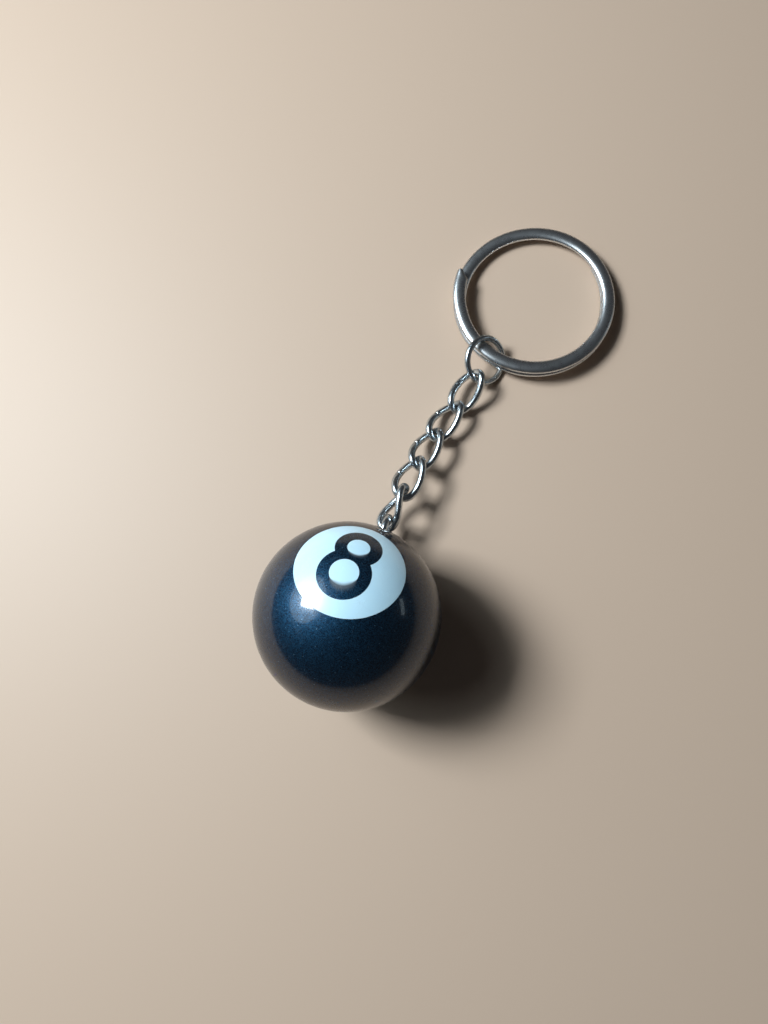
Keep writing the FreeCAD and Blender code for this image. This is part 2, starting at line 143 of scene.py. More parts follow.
def solid_middle(node):
    """Centre of volume of a CAD node."""
    corners = tetrahedra(node)
    volumes = np.linalg.det(corners)
    return Vector((volumes[:, None] * corners.sum(axis=1)).sum(axis=0) / (4 * volumes.sum()))


def solid_axes(node):
    """Principal directions of a CAD node, from the one it is longest along to the shortest."""
    corners = tetrahedra(node) - np.array(solid_middle(node))
    volumes = np.linalg.det(corners)
    spread = np.einsum("t,tci,tcj->ij", volumes, corners, corners)
    whole = corners.sum(axis=1)
    spread += np.einsum("t,ti,tj->ij", volumes, whole, whole)
    directions = np.linalg.eigh(spread)[1]
    return [Vector(directions[:, column]) for column in (2, 1, 0)]


def axes_matrix(x_axis, y_axis, z_axis, origin):
    """Placing matrix with the given axes and origin."""
    rotation = Matrix((x_axis, y_axis, z_axis)).transposed()
    return Matrix.Translation(origin) @ rotation.to_4x4()


def ball_place():
    """Ball's own axes: +Z out through the front number spot, +Y out through the screw eye."""
    front = solid_middle("number_spot_front")
    back = solid_middle("number_spot_back")
    middle = (front + back) / 2
    z_axis = (front - back).normalized()
    to_eye = solid_middle("screw_eye") - middle
    y_axis = (to_eye - z_axis * to_eye.dot(z_axis)).normalized()
    return axes_matrix(y_axis.cross(z_axis), y_axis, z_axis, middle)


def joint_side(node, middle, along, across):
    """+1 or -1: the side of a link on which the CAD solid has its butt joint."""
    side = 0.0
    for vertex in frame["nodes"][node].data.vertices:
        offset = vertex.co - middle
        if abs(offset.dot(along)) < 0.1 * MM:
            side += offset.dot(across)
    return 1 if side >= 0 else -1


def link_place(node):
    """Link's own axes: +X along it towards the split ring, +Y to the side with the butt joint."""
    middle = solid_middle(node)
    along, across, _ = solid_axes(node)
    if along.y < 0:
        along = -along
    across = across * joint_side(node, middle, along, across)
    return axes_matrix(along, across, along.cross(across), middle)


def jump_ring_place():
    """+Z along the ring's axis, -X towards the low side of the tilted ring, where it is joined."""
    axis = solid_axes("jump_ring")[2]
    if axis.z < 0:
        axis = -axis
    sideways = Vector((0, 1, 0))
    x_axis = sideways.cross(axis).normalized()
    return axes_matrix(x_axis, axis.cross(x_axis), axis, solid_middle("jump_ring"))


def split_ring_place():
    """+Z along the ring's axis and +X as near the row's +X as it can be."""
    mount = next(m for m in frame["record"]["mounts"] if m["name"] == "key_ring")
    axis = Vector(mount["axis"]).normalized()
    y_axis = axis.cross(Vector((1, 0, 0))).normalized()
    return axes_matrix(y_axis.cross(axis), y_axis, axis, Vector(mount["pos_m"]))


# ---------------------------------------------------------------- making pieces


def add_piece(name, mesh, place, body, nodes, material):
    """Places a mesh made in its own axes in millimetres, and lets it ride in place of its CAD nodes.
    Each vertex keeps its own place as an attribute, so materials stay fixed to the piece."""
    places = np.empty(len(mesh.vertices) * 3, np.float32)
    mesh.vertices.foreach_get("co", places)
    mesh.attributes.new(OWN_PLACE, "FLOAT_VECTOR", "POINT").data.foreach_set("vector", places)
    mesh.transform(place @ Matrix.Scale(MM, 4))
    mesh.materials.append(material)
    piece = bpy.data.objects.new(name, mesh)
    bpy.context.scene.collection.objects.link(piece)
    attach(piece, body)
    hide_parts(*nodes)


def finish_mesh(shape, name):
    """Turns a bmesh into a mesh."""
    mesh = bpy.data.meshes.new(name)
    shape.to_mesh(mesh)
    shape.free()
    return mesh


def smooth_by_angle(mesh, degrees):
    """Smooth shading, but for edges sharper than an angle."""
    for face in mesh.polygons:
        face.use_smooth = True
    mesh.set_sharp_from_angle(angle=math.radians(degrees))


def shade_as_sphere(mesh):
    """Exact sphere normals on faces that lie on the ball, flat ones on the walls of its recesses."""
    normals = [None] * len(mesh.loops)
    just_inside = BALL_RADIUS - 0.1
    for face in mesh.polygons:
        faces_out = face.normal.dot(face.center.normalized()) > 0.9
        on_ball = faces_out and face.center.length > just_inside
        for index in face.loop_indices:
            corner = mesh.vertices[mesh.loops[index].vertex_index].co
            normals[index] = corner.normalized() if on_ball else face.normal.copy()
        face.use_smooth = True
    mesh.normals_split_custom_set(normals)


# ---------------------------------------------------------------- swept wire


def wire_frames(centres, upright=None):
    """Two unit vectors across the wire at each station: carried along, or held to an upright."""
    tangents = np.gradient(centres, axis=0)
    tangents /= np.linalg.norm(tangents, axis=1)[:, None]
    if upright is not None:
        second = np.tile(np.array(upright, float), (len(centres), 1))
        first = np.cross(tangents, second)
        first /= np.linalg.norm(first, axis=1)[:, None]
        return first, second
    not_along = (0.31, 0.17, 0.93)      # any direction that no wire starts in
    first = [np.cross(tangents[0], not_along)]
    for tangent in tangents:
        carried = first[-1] - tangent * np.dot(first[-1], tangent)
        first.append(carried / np.linalg.norm(carried))
    first = np.array(first[1:])
    return first, np.cross(tangents, first)


def wire_skin(shape, rows, distances, side):
    """Quads between the rows of a wire, with UVs along and round it; side is one quad's width."""
    uv = shape.loops.layers.uv.new("wire")
    around = len(rows[0])
    for station in range(len(rows) - 1):
        low, high = rows[station], rows[station + 1]
        for index in range(around):
            beside = (index + 1) % around
            face = shape.faces.new((low[index], low[beside], high[beside], high[index]))
            along = (distances[station], distances[station],
                     distances[station + 1], distances[station + 1])
            across = (index, index + 1, index + 1, index)
            for loop, distance, steps_round in zip(face.loops, along, across):
                loop[uv].uv = (distance, steps_round * side)


def sweep(name, centres, section, chamfer, upright=None, surface=None, slant=0.0, tip=1.0):
    """A wire of the given section along a centre line, with chamfered ends.
    surface(distance, turn) may add to the section's size. slant is the length of a slanted cut on
    the last end, and tip the share of the width it leaves."""
    centres = np.array(centres, float)
    first, second = wire_frames(centres, upright)
    steps = np.linalg.norm(np.diff(centres, axis=0), axis=1)
    distances = np.concatenate(([0], np.cumsum(steps)))
    to_last = distances[-1] - distances
    to_end = np.minimum(distances, to_last)
    around = len(section)
    half_width = max(abs(x) for x, _ in section)
    shape = bmesh.new()
    rows = []
    for station, centre in enumerate(centres):
        inset = max(chamfer - to_end[station], 0) / half_width
        cut = max(0.0, 1.0 - to_last[station] / slant) if slant else 0.0
        kept = 1.0 - cut * (1.0 - tip)
        row = []
        for index, (x, y) in enumerate(section):
            x = kept * (x + half_width) - half_width
            grow = 1 - inset
            if surface:
                grow += surface(distances[station], index / around) / half_width
            point = centre + grow * (x * first[station] + y * second[station])
            row.append(shape.verts.new(point))
        rows.append(row)
    girth = sum(math.dist(section[i], section[(i + 1) % around]) for i in range(around))
    wire_skin(shape, rows, distances, girth / around)
    shape.faces.new(list(reversed(rows[0])))
    shape.faces.new(rows[-1])
    bmesh.ops.recalc_face_normals(shape, faces=shape.faces)
    mesh = finish_mesh(shape, name)
    smooth_by_angle(mesh, 32)
    return mesh


def round_section(radius, count=32):
    """Round wire."""
    turns = [2 * math.pi * index / count for index in range(count)]
    return [(radius * math.cos(turn), radius * math.sin(turn)) for turn in turns]


def rounded_section(width, height, exponent, count=44):
    """Superellipse: a wire squashed to a width and height with soft shoulders."""
    points = []
    for index in range(count):
        turn = 2 * math.pi * index / count
        x, y = math.cos(turn), math.sin(turn)
        reach = (abs(x) ** exponent + abs(y) ** exponent) ** (-1 / exponent)
        points.append((x * reach * width / 2, y * reach * height / 2))
    return points


def ease_ends(count):
    """Shares from 0 to 1 with extra stations near both ends, for the chamfers."""
    shares = {step / count for step in range(count + 1)}
    shares.update(END_STATIONS)
    shares.update(1 - share for share in END_STATIONS)
    return sorted(shares)


# ---------------------------------------------------------------- ball


def ball_surface(facing, side, rim_angle=None, divisions=36, rings=22):
    """One sixth of the sphere as rows of unit directions, cut by a round rim if an angle is given.
    Also returns whether the rows are closed rounds."""
    facing, side = Vector(facing), Vector(side)
    up = facing.cross(side)
    quarter = math.pi / 4

    def direction(u, v):
        return (facing + side * math.tan(u * quarter) + up * math.tan(v * quarter)).normalized()

    shares = [2 * step / divisions - 1 for step in range(divisions + 1)]
    if rim_angle is None:
        return [[direction(u, v) for u in shares] for v in shares], False
    edge = [(u, -1) for u in shares[:-1]] + [(1, v) for v in shares[:-1]]
    edge += [(-u, 1) for u in shares[:-1]] + [(-1, -v) for v in shares[:-1]]
    outer = [direction(u, v) for u, v in edge]
    rows = []
    for ring in range(rings + 1):
        share = ring / rings
        row = []
        for start in outer:
            level = start - facing * start.dot(facing)
            rim = facing * math.cos(rim_angle) + level.normalized() * math.sin(rim_angle)
            row.append(start.slerp(rim, share))
        rows.append(row)
    return rows, True


def add_rows(shape, rows, closed):
    """Quads between rows of points, each row closed to a round or not; returns the vertices."""
    made = [[shape.verts.new(point) for point in row] for row in rows]
    count = len(rows[0])
    for low, high in zip(made, made[1:]):
        for index in range(count if closed else count - 1):
            beside = (index + 1) % count
            shape.faces.new((low[index], low[beside], high[beside], high[index]))
    return made


def recess_rows(rim, facing, depth):
    """Wall of a recess, straight in from its rim."""
    inward = Vector(facing) * -depth
    return [[point + inward * share for point in rim] for share in (0, 0.5, 1)]


def make_ball():
    """The black resin ball with two recesses for the number spots and a hole for the screw eye."""
    spot_rim = math.asin((SPOT_RADIUS + INLAY_GAP) / BALL_RADIUS)
    hole_rim = math.asin(HOLE_RADIUS / BALL_RADIUS)
    # Each sixth: the way it faces, one of its edges, and its recess's rim angle and depth.
    sides = [
        ((0, 0, 1), (1, 0, 0), spot_rim, INLAY_DEPTH),
        ((0, 0, -1), (-1, 0, 0), spot_rim, INLAY_DEPTH),
        ((0, 1, 0), (0, 0, 1), hole_rim, HOLE_DEPTH),
        ((0, -1, 0), (0, 0, 1), None, None),
        ((1, 0, 0), (0, 1, 0), None, None),
        ((-1, 0, 0), (0, 1, 0), None, None),
    ]
    shape = bmesh.new()
    for facing, side, rim, depth in sides:
        directions, closed = ball_surface(facing, side, rim)
        rows = [[direction * BALL_RADIUS for direction in row] for row in directions]
        add_rows(shape, rows, closed)
        if rim:
            wall = add_rows(shape, recess_rows(rows[-1], facing, depth), True)
            shape.faces.new(wall[-1])
    bmesh.ops.remove_doubles(shape, verts=shape.verts, dist=0.0005)
    bmesh.ops.recalc_face_normals(shape, faces=shape.faces)
    mesh = finish_mesh(shape, "ball_body")
    shade_as_sphere(mesh)
    return mesh


# ---------------------------------------------------------------- number spot and figure


def circle_points(middle, radius, count):
    """Round outline with its middle on the Y axis."""
    turns = [2 * math.pi * index / count for index in range(count)]
    return [Vector((radius * math.cos(turn), middle + radius * math.sin(turn))) for turn in turns]


def figure_outline(grow):
    """Outer edge of the figure 8: two round loops that meet at a sharp waist."""
    (upper, upper_radius, _), (lower, lower_radius, _) = UPPER_LOOP, LOWER_LOOP
    upper_radius, lower_radius = upper_radius + grow, lower_radius + grow
    spread = upper - lower
    drop = (spread**2 + upper_radius**2 - lower_radius**2) / (2 * spread)
    upper_waist = math.acos(drop / upper_radius)
    lower_waist = math.acos((spread - drop) / lower_radius)
    points = []
    for middle, radius, facing, waist in (
        (upper, upper_radius, -math.pi / 2, upper_waist),
        (lower, lower_radius, math.pi / 2, lower_waist),
    ):
        count = round(radius * OUTLINE_STEPS)
        for index in range(count):
            turn = facing + waist + (2 * math.pi - 2 * waist) * index / count
            points.append(Vector((radius * math.cos(turn), middle + radius * math.sin(turn))))
    return points


def in_figure(x, y, grow):
    """Whether a point lies in the black of the figure 8, grown by a hairline."""
    inside = False
    for middle, radius, hole in (UPPER_LOOP, LOWER_LOOP):
        distance = math.hypot(x, y - middle)
        if distance < hole - grow:
            return False
        inside = inside or distance < radius + grow
    return inside


def fill_points(spacing, loops):
    """A staggered grid over the spot, clear of the given outlines."""
    edges = np.array([point for loop in loops for point in loop])
    points = []
    rows = int(SPOT_RADIUS / spacing) + 1
    for row in range(-rows, rows + 1):
        for column in range(-rows, rows + 1):
            x = (column + (row % 2) / 2) * spacing
            y = row * spacing * 0.87
            near_edge = np.min(np.hypot(edges[:, 0] - x, edges[:, 1] - y))
            if math.hypot(x, y) < SPOT_RADIUS - spacing / 3 and near_edge > spacing * 0.6:
                points.append(Vector((x, y)))
    return points


def on_ball(point, depth=0.0):
    """Lifts a flat point to the ball's surface, or to a depth below it."""
    height = math.sqrt(BALL_RADIUS**2 - point.x**2 - point.y**2)
    return Vector((point.x, point.y, height - depth))


def in_order(faces):
    """The same faces in an order that is the same each run, each from its lowest corner on."""
    turned = []
    for face in faces:
        start = face.index(min(face))
        turned.append(face[start:] + face[:start])
    return sorted(turned)


def add_walls(shape):
    """Quads that go straight in from every open edge of an inlay's top."""
    rim = [edge.link_loops[0] for edge in shape.edges if edge.is_boundary]
    below = {loop.vert: shape.verts.new(on_ball(loop.vert.co, INLAY_DEPTH)) for loop in rim}
    for loop in rim:
        start, end = loop.vert, loop.link_loop_next.vert
        shape.faces.new((end, start, below[start], below[end]))


def make_inlay(name, loops, keep):
    """A resin inlay flush with the ball: its top follows the sphere, its walls go straight in."""
    points, edges = [], []
    for loop in loops:
        first = len(points)
        count = len(loop)
        points += loop
        edges += [(first + index, first + (index + 1) % count) for index in range(count)]
    points += fill_points(GRID_SPACING, loops)
    flat, _, faces, _, _, _ = delaunay_2d_cdt(points, edges, [], 0, 1e-5)
    shape = bmesh.new()
    tops = [shape.verts.new(on_ball(point)) for point in flat]
    for face in in_order(faces):
        middle = sum((flat[index] for index in face), Vector((0, 0))) / len(face)
        if keep(middle.x, middle.y):
            shape.faces.new([tops[index] for index in face])
    unused = [vertex for vertex in tops if not vertex.link_faces]
    bmesh.ops.delete(shape, geom=unused, context="VERTS")
    add_walls(shape)
    mesh = finish_mesh(shape, name)
    shade_as_sphere(mesh)
    return mesh


def hole_outlines(shrink):
    """The two holes of the 8, smaller by a hairline."""
    return [circle_points(middle, hole - shrink, 100) for middle, _, hole in (UPPER_LOOP, LOWER_LOOP)]


def spot_mesh(name):
    """White spot, with the islands in the holes of the 8."""
    rim = circle_points(0, SPOT_RADIUS, 240)
    loops = [rim, figure_outline(INLAY_GAP)] + hole_outlines(INLAY_GAP)

    def white(x, y):
        return math.hypot(x, y) < SPOT_RADIUS and not in_figure(x, y, INLAY_GAP)

    return make_inlay(name, loops, white)


def figure_mesh(name):
    """Black 8."""

    def black(x, y):
        return in_figure(x, y, 0)

    return make_inlay(name, [figure_outline(0)] + hole_outlines(0), black)


# ---------------------------------------------------------------- screw eye and glue


def eye_path():
    """Shank along +Y, a short bend off the axis, then the loop in the YZ plane."""
    loop_radius = (EYE_OUTER - EYE_WIRE) / 2
    loop_middle = EYE_REACH - EYE_OUTER / 2
    neck_middle = loop_middle - math.sqrt(loop_radius**2 + 2 * loop_radius * EYE_BEND)
    meeting = math.atan2(EYE_BEND, loop_middle - neck_middle)
    points = []
    for step in range(40):
        points.append((0, SHANK_START + (neck_middle - SHANK_START) * step / 40, 0))
    for step in range(16):
        turn = -math.pi / 2 + (math.pi / 2 - meeting) * step / 16
        points.append((0, neck_middle + EYE_BEND * math.cos(turn), EYE_BEND * (1 + math.sin(turn))))
    sweep_angle = math.radians(EYE_SWEEP)
    for share in ease_ends(120):
        turn = math.pi - meeting - sweep_angle * share
        points.append((0, loop_middle + loop_radius * math.cos(turn), loop_radius * math.sin(turn)))
    return points


def thread_crest(distance, turn):
    """Thread ridge on the buried part of the shank."""
    buried = BALL_RADIUS - SHANK_START - 0.3
    if distance > buried:
        return 0.0
    phase = (distance / THREAD_PITCH + turn) % 1
    return THREAD_CREST * max(0.0, 1 - abs(phase - 0.5) / 0.35)


def make_screw_eye():
    """Threaded shank and open eye of round wire."""
    return sweep("screw_eye", eye_path(), round_section(EYE_WIRE / 2), 0.09, surface=thread_crest)


def make_glue():
    """Ring of set glue between the shank and the hole's edge, sunk in the middle and uneven."""
    inner, outer = EYE_WIRE / 2 - GLUE_GAP, HOLE_RADIUS - GLUE_GAP
    around, across = 48, 10
    shape = bmesh.new()
    rows = []
    for step in range(across + 1):
        share = step / across
        radius = inner + (outer - inner) * share
        row = []
        for index in range(around):
            turn = 2 * math.pi * index / around
            ripple = 0.03 * math.sin(3 * turn + 1) + 0.02 * math.sin(5 * turn)
            climb = 0.22 * (1 - share) ** 3 + 0.05 * share**4
            height = BALL_RADIUS - GLUE_LEVEL + climb + ripple * math.sin(math.pi * share)
            row.append(Vector((radius * math.cos(turn), height, radius * math.sin(turn))))
        rows.append(row)
    rows.append([Vector((point.x, point.y - GLUE_DEPTH, point.z)) for point in rows[-1]])
    add_rows(shape, rows, True)
    bmesh.ops.recalc_face_normals(shape, faces=shape.faces)
    mesh = finish_mesh(shape, "thread_adhesive")
    smooth_by_angle(mesh, 50)
    return mesh


# ---------------------------------------------------------------- chain, jump ring and split ring


def link_centre_point(turn):
    """Point of a link's centre line: an oval between ellipse and rectangle, twisted lengthways."""
    half_length = (LINK_INNER_LENGTH + LINK_WIRE) / 2
    half_width = (LINK_INNER_WIDTH + LINK_WIRE) / 2
    power = LINK_SQUARENESS
    along, across = math.cos(turn), math.sin(turn)
    push = (abs(along) ** power + abs(across) ** power) ** (-1 / power)
    twist = -math.radians(LINK_HALF_TWIST) * push * along
    across *= push * half_width
    return push * half_length * along, across * math.cos(twist), across * math.sin(twist)


def make_link(name, unevenness):
    """A twisted curb link of round wire, with a butt joint in one side."""
    half_gap = WIRE_JOINT / (LINK_INNER_LENGTH + LINK_WIRE)
    centres = []
    for share in ease_ends(240):
        turn = math.pi / 2 + half_gap + (2 * math.pi - 2 * half_gap) * share
        centres.append(link_centre_point(turn))

    def surface(distance, turn):
        slow = math.sin(distance * 1.7 + 6 * turn)
        quick = math.sin(distance * 4.1 - 12 * turn)
        return unevenness * (slow + 0.6 * quick)

    return sweep(name, centres, round_section(LINK_WIRE / 2), 0.05, surface=surface)


def make_jump_ring():
    """Round wire bent to a ring, its ends butted a little aside of each other."""
    gap = WIRE_JOINT / JUMP_RADIUS
    centres = []
    for share in ease_ends(160):
        turn = math.pi + gap / 2 + (2 * math.pi - gap) * share
        offset = JUMP_OFFSET * (share - 0.5)
        centres.append((JUMP_RADIUS * math.cos(turn), JUMP_RADIUS * math.sin(turn), offset))
    return sweep("jump_ring", centres, round_section(JUMP_WIRE / 2), 0.06)


def smooth_step(amount):
    """0 to 1 with a soft start and end."""
    amount = min(max(amount, 0.0), 1.0)
    return amount * amount * (3 - 2 * amount)


def make_split_ring():
    """Flattened wire coiled twice, crossing from the lower to the upper coil."""
    lower_turn = 360 - RING_CROSSING
    total_turn = 360 + lower_turn
    centres = []
    for share in ease_ends(460):
        turned = total_turn * share
        climb = smooth_step((turned - lower_turn) / RING_CROSSING)
        level = (climb - 0.5) * (RING_HEIGHT + RING_COIL_GAP)
        from_end = min(turned, total_turn - turned)
        stand_out = RING_END_SPRING * (1 - smooth_step(from_end / RING_END_REACH))
        radius = (RING_OUTER - RING_WIDTH) / 2 + stand_out
        angle = math.radians(RING_END_ANGLE - turned)
        centres.append((radius * math.cos(angle), radius * math.sin(angle), level))
    section = rounded_section(RING_WIDTH, RING_HEIGHT, RING_ROUNDNESS)
    return sweep("split_ring", centres, section, 0.16, upright=(0, 0, 1),
                 slant=RING_SLANT, tip=RING_TIP)


# ---------------------------------------------------------------- shader helpers


def linear(red, green, blue):
    """Scene-linear colour from 0 to 255 display values."""
    channels = []
    for value in (red, green, blue):
        value /= 255
        channels.append(value / 12.92 if value <= 0.04045 else ((value + 0.055) / 1.055) ** 2.4)
    return (*channels, 1.0)


class Shader:
    """A material's node tree, with one method per kind of node it needs."""

    def __init__(self, name):
        self.material = bpy.data.materials.new(name)
        self.material.use_nodes = True
        self.tree = self.material.node_tree
        self.principled = self.tree.nodes["Principled BSDF"]
        self.place = self.node("ShaderNodeAttribute", attribute_name=OWN_PLACE).outputs["Vector"]
        self.wire = self.node("ShaderNodeTexCoord").outputs["UV"]

    def node(self, kind, inputs=None, **settings):
        """Adds a node, sets its properties and feeds its inputs."""
        made = self.tree.nodes.new(kind)
        for key, value in settings.items():
            setattr(made, key, value)
        for key, value in (inputs or {}).items():
            self.feed(made.inputs[key], value)
        return made

    def feed(self, socket, value):
        """Links a socket into an input, or sets the input to a plain value."""
        if isinstance(value, bpy.types.NodeSocket):
            self.tree.links.new(value, socket)
        else:
            socket.default_value = value

    def set(self, **inputs):
        """Feeds the principled shader; underscores stand for spaces."""
        for key, value in inputs.items():
            self.feed(self.principled.inputs[key.replace("_", " ")], value)

    def stretch(self, vector, scale):
        """Scales coordinates, so that a pattern comes out finer along an axis."""
        return self.node("ShaderNodeMapping", {"Vector": vector, "Scale": scale}).outputs[0]

    def noise(self, scale, detail=4, roughness=0.55, vector=None):
        """Noise from 0 to 1; a scale of 1 has lumps of about a millimetre."""
        inputs = {"Vector": vector or self.place, "Scale": scale}
        inputs.update({"Detail": detail, "Roughness": roughness})
        return self.node("ShaderNodeTexNoise", inputs).outputs["Fac"]

    def cells(self, scale):
        """Voronoi cells: distance to each cell's point, and its random colour."""
        made = self.node("ShaderNodeTexVoronoi", {"Vector": self.place, "Scale": scale})
        return made.outputs["Distance"], made.outputs["Color"]

    def remap(self, value, low, high, to_low=0.0, to_high=1.0):
        """Carries low to high over to another range, smoothly and held at its ends."""
        inputs = {"Value": value, "From Min": low, "From Max": high}
        inputs.update({"To Min": to_low, "To Max": to_high})
        made = self.node("ShaderNodeMapRange", inputs, interpolation_type="SMOOTHSTEP")
        return made.outputs["Result"]

    def math(self, operation, first, second=0.0):
        made = self.node("ShaderNodeMath", operation=operation)
        self.feed(made.inputs[0], first)
        self.feed(made.inputs[1], second)
        return made.outputs[0]

    def mix(self, amount, first, second):
        """The first colour where amount is 0, the second where it is 1."""
        made = self.node("ShaderNodeMix", data_type="RGBA")
        self.feed(made.inputs["Factor"], amount)
        self.feed(made.inputs[6], first)
        self.feed(made.inputs[7], second)
        return made.outputs[2]

    def bump(self, height, depth_mm, strength=1.0, normal=None):
        """Normal of a surface with the given height, on top of another bump if there is one."""
        inputs = {"Height": height, "Distance": depth_mm * MM, "Strength": strength}
        if normal is not None:
            inputs["Normal"] = normal
        return self.node("ShaderNodeBump", inputs).outputs[0]

    def split(self, vector):
        return self.node("ShaderNodeSeparateXYZ", {"Vector": vector}).outputs

    def hairlines(self, scale, direction, width, shift):
        """Sparse fine scratches running one way: 1 in a scratch, 0 elsewhere."""
        placing = {"Vector": self.place, "Rotation": direction, "Location": (shift, shift, shift)}
        turned = self.node("ShaderNodeMapping", placing).outputs[0]
        squeezed = self.stretch(turned, (scale, scale * 0.06, scale))
        edges = {"Vector": squeezed, "Scale": 1.0}
        made = self.node("ShaderNodeTexVoronoi", edges, feature="DISTANCE_TO_EDGE")
        line = self.remap(made.outputs["Distance"], 0.0, width, 1.0, 0.0)
        patch = self.remap(self.noise(0.25, 2, 0.5, turned), 0.52, 0.62)
        return self.math("MULTIPLY", line, patch)


def handling_marks(shader):
    """Fine scratches in three directions over a polished surface."""
    total = shader.hairlines(0.9, (0.3, 0.2, 0.5), 0.016, 3.1)
    for direction, shift in (((1.2, 0.4, 2.0), 7.7), ((0.5, 1.9, 1.1), 12.9)):
        total = shader.math("MAXIMUM", total, shader.hairlines(0.7, direction, 0.014, shift))
    return total


def polish(shader, wear):
    """Clear, hand-rubbed gloss over a resin: a coat with smears, fine scratches and a fine haze."""
    clear = shader.remap(shader.noise(0.35, 5, 0.6), 0.35, 0.75, 0.03, 0.08)
    hazy = shader.remap(shader.noise(16, 2), 0.5, 0.56)
    waves = shader.bump(shader.noise(0.6, 2), 0.01, 0.35)
    shader.set(
        Coat_Weight=1.0,
        Coat_IOR=1.6,
        Coat_Roughness=shader.math("ADD", clear, shader.math("MULTIPLY", hazy, 0.22)),
        Coat_Normal=shader.bump(wear, -0.004, 0.35, waves),
    )


# ---------------------------------------------------------------- materials


def pearl(shader):
    """Dark blue lustre of fine flakes in black resin: its colour, flake by flake."""
    _, fine = shader.cells(11)
    distance, coarse = shader.cells(3.4)
    fine, coarse = shader.split(fine), shader.split(coarse)
    few = shader.remap(coarse[1], 0.86, 0.9)
    small = shader.remap(distance, 0.1, 0.16, 1, 0)
    sparks = shader.mix(coarse[2], linear(90, 150, 190), linear(170, 200, 215))
    grain = shader.mix(shader.remap(fine[0], 0.15, 1.0), linear(6, 32, 52), linear(34, 78, 108))
    clouds = shader.math("MULTIPLY", shader.noise(0.2, 3), 0.5)
    clouded = shader.mix(clouds, grain, linear(10, 36, 58))
    return shader.mix(shader.math("MULTIPLY", few, small), clouded, sparks)


def black_resin():
    """Black resin with a dark blue lustre of fine flakes, polished."""
    shader = Shader("black_resin")
    scratches = handling_marks(shader)
    faint = shader.math("MULTIPLY", scratches, 0.12)
    shader.set(
        Base_Color=shader.mix(faint, pearl(shader), linear(120, 140, 155)),
        Metallic=1.0,
        Roughness=0.55,
        Specular_Tint=linear(30, 60, 90),
    )
    polish(shader, scratches)
    return shader.material


def hole_shade(shader, loop, feather):
    """Round one hole of the 8: 0 inside it and 1 outside, softly feathered at its lower edge.
    Also returns the distance from the hole's middle."""
    middle, _, hole = loop
    x, y, _ = shader.split(shader.place)
    y = shader.math("SUBTRACT", y, middle)
    squared = shader.math("ADD", shader.math("MULTIPLY", x, x), shader.math("MULTIPLY", y, y))
    distance = shader.math("SQRT", squared)
    along_x = shader.math("MULTIPLY", x, FEATHER_SIDE[0])
    along_y = shader.math("MULTIPLY", y, FEATHER_SIDE[1])
    along = shader.math("ADD", along_x, along_y)
    facing = shader.math("DIVIDE", along, shader.math("MAXIMUM", distance, 0.05))
    below = shader.remap(facing, 0.35, 1.0)
    width = shader.math("ADD", shader.math("MULTIPLY", below, feather), 0.02)
    depth = shader.math("DIVIDE", shader.math("SUBTRACT", distance, hole), width)
    return shader.remap(depth, -1.0, 1.2), distance


def number_resin(name):
    """A shader for the spot or the 8, with the shade and distance for each hole of the 8."""
    shader = Shader(name)
    upper = hole_shade(shader, UPPER_LOOP, UPPER_FEATHER)
    lower = hole_shade(shader, LOWER_LOOP, LOWER_FEATHER)
    return shader, upper, lower


def finish_number_resin(shader, black):
    """Polished resin: white where black is 0, and pearly like the ball where it is 1."""
    clouding = shader.noise(0.3, 4)
    white = shader.mix(clouding, linear(190, 228, 248), linear(203, 236, 251))
    edge = shader.mix(shader.remap(black, 0.0, 0.45), white, linear(84, 92, 100))
    full_black = shader.remap(black, 0.3, 1.0)
    colour = shader.mix(full_black, edge, pearl(shader))
    scratches = handling_marks(shader)
    faint = shader.math("MULTIPLY", scratches, 0.12)
    specks = shader.remap(shader.noise(2.6, 2), 0.74, 0.8, 0.0, 0.35)
    colour = shader.mix(specks, colour, linear(120, 126, 130))
    shader.set(
        Base_Color=shader.mix(faint, colour, linear(150, 165, 175)),
        Metallic=full_black,
        Roughness=shader.remap(full_black, 0.0, 1.0, 0.4, 0.58),
        Subsurface_Weight=0.12,
        Subsurface_Radius=(1.0, 1.1, 1.2),
        Subsurface_Scale=0.4 * MM,
        Normal=shader.bump(shader.noise(6, 4), 0.004, 0.4),
    )
    polish(shader, scratches)
    return shader.material


def white_resin():
    """The spot: white, but for the feathered lower edges of the two islands inside the 8."""
    shader, *shades = number_resin("white_resin")
    black = 0.0
    for (shade, distance), (_, _, hole) in zip(shades, (UPPER_LOOP, LOWER_LOOP)):
        inside = shader.math("LESS_THAN", distance, hole)
        black = shader.math("MAXIMUM", black, shader.math("MULTIPLY", shade, inside))
    return finish_number_resin(shader, black)


def black_figure():
    """The figure 8: black, but for the feathered lower edge of each hole."""
    shader, (upper, _), (lower, _) = number_resin("black_figure")
    return finish_number_resin(shader, shader.math("MULTIPLY", upper, lower))


